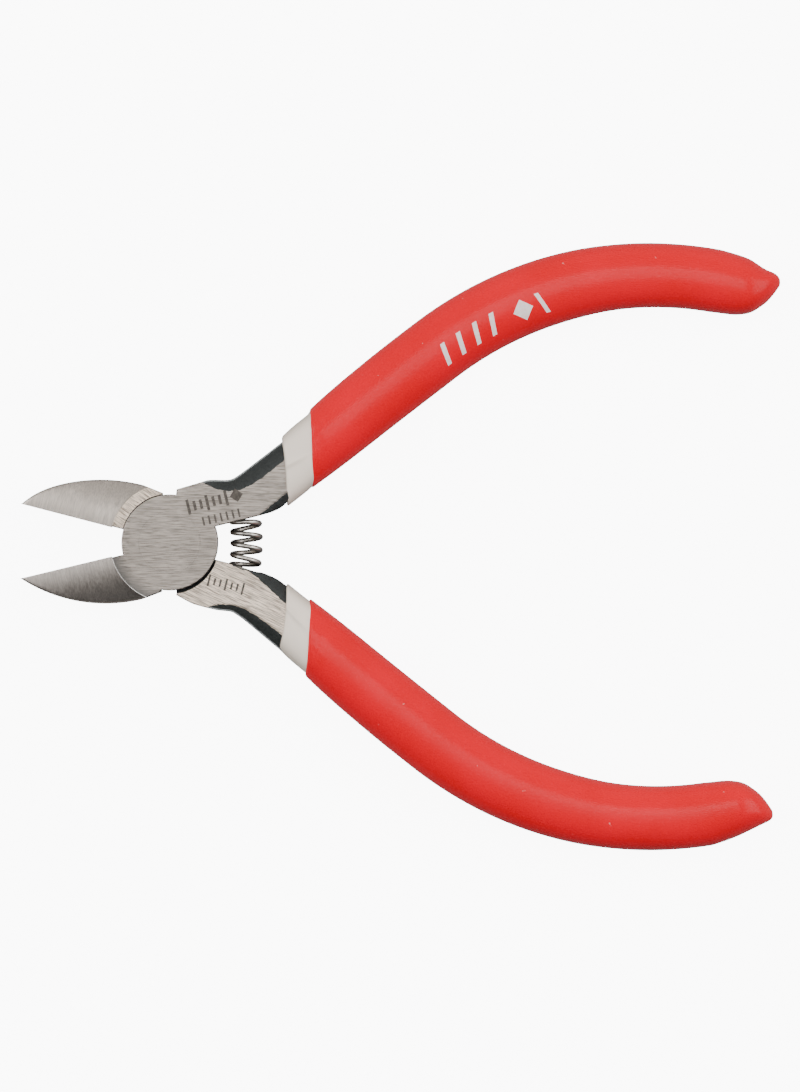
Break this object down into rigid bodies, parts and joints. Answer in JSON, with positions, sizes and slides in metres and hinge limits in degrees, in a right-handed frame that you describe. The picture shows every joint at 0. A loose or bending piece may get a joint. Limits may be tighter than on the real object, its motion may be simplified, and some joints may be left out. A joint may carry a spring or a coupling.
{
  "type": "flush cutter",
  "caption": "Small flush-cutting side cutters with a riveted lap joint, a coil return spring and curved handles dipped in two layers of plastic.",
  "frame": {"origin": "on the pivot axis, in the ground rear face of the joint", "axes": "+X from the pivot along the tool towards the handle ends, jaws towards -X; +Z along the pivot towards the flush side; +Y towards the front lever's handle"},
  "size_m": [0.0936, 0.0754, 0.0078],
  "materials": {
    "ground_steel": "ground and brushed, black oxide left on the sloping flanks",
    "rivet_steel": "ground flush with the joint",
    "spring_wire": "drawn wire, lightly oiled",
    "white_dip": "satin dipped vinyl",
    "red_dip": "satin dipped vinyl"
  },
  "bodies": {
    "front_lever": {"front_half": "ground_steel", "pivot_rivet": "rivet_steel", "return_spring": "spring_wire", "front_inner_sleeve": "white_dip", "front_grip": "red_dip"},
    "rear_lever": {"rear_half": "ground_steel", "rear_inner_sleeve": "white_dip", "rear_grip": "red_dip"}
  },
  "joints": [
    {"name": "pivot", "type": "hinge", "parent": "front_lever", "child": "rear_lever", "pos_m": [0, 0, 0], "axis": [0, 0, 1], "range_deg": [-12, 28], "stiffness_Nm_per_rad": 0.045, "deforming": ["return_spring"]}
  ]
}
